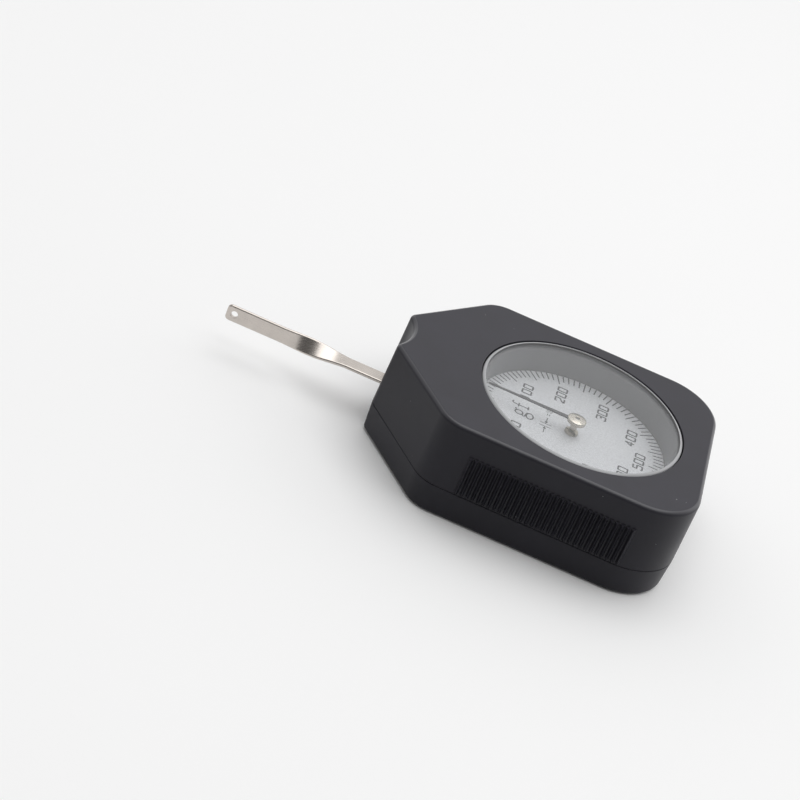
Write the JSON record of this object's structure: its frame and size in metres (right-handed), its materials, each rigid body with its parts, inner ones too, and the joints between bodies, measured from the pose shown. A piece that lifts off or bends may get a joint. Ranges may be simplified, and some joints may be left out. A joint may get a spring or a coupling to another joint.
{
  "type": "dial tension gauge",
  "caption": "Hand-held force gauge: a round dial in a ribbed moulded case, with a quarter-turned feeler lever that swings a toothed sector and turns the needle both ways.",
  "frame": {"origin": "on the needle's axis, at the flat back face of the case", "axes": "+Z out of the dial along the needle's axis, +X away from the lever to the rear of the case, +Y across the case"},
  "size_m": [0.1165, 0.0616, 0.0244],
  "materials": {
    "case": "fine matte moulded",
    "crystal": "clear polished",
    "ring": "smooth gloss",
    "dial": "silver lacquer with a fine grain",
    "needle": "satin dark grey",
    "nickel": "polished nickel plate",
    "hub": "turned, nickel plated",
    "brass": "fine brushed",
    "steel": "turned",
    "spring": "tempered"
  },
  "bodies": {
    "case": {"front_case": "case", "back_cover": "case", "case_screws": "steel", "crystal": "crystal", "spacer_ring": "ring", "dial": "dial", "lower_plate": "brass", "upper_plate": "brass", "pillars": "brass", "plate_screws": "steel", "movement_screws": "steel", "lever_lower_bush": "brass", "lever_upper_bush": "brass", "stop_pins": "steel", "main_spring": "spring", "main_spring_stud": "steel", "arbor_lower_bush": "brass", "arbor_upper_bush": "brass", "hairspring": "spring", "hairspring_stud": "steel"},
    "lever": {"lever": "nickel", "lever_hub": "brass", "lever_shaft": "steel", "lever_screws": "steel", "sector_gear": "brass", "main_spring_collet": "brass"},
    "pointer": {"pointer_arbor": "steel", "pinion": "brass", "hairspring_collet": "brass", "pointer_hub": "hub", "needle": "needle"}
  },
  "joints": [
    {"name": "lever_swing", "type": "hinge", "parent": "case", "child": "lever", "pos_m": [-0.03, 0, 0.00965], "axis": [0, 0, 1], "range_deg": [-15, 15], "stiffness_Nm_per_rad": 0.98, "deforming": ["main_spring"]},
    {"name": "pointer_spin", "type": "hinge", "parent": "case", "child": "pointer", "pos_m": [0, 0, 0.0192], "axis": [0, 0, 1], "range_deg": [-180, 180], "deforming": ["hairspring"]}
  ],
  "couplings": [
    {"joint": "pointer_spin", "follows": "lever_swing", "ratio": -12}
  ]
}
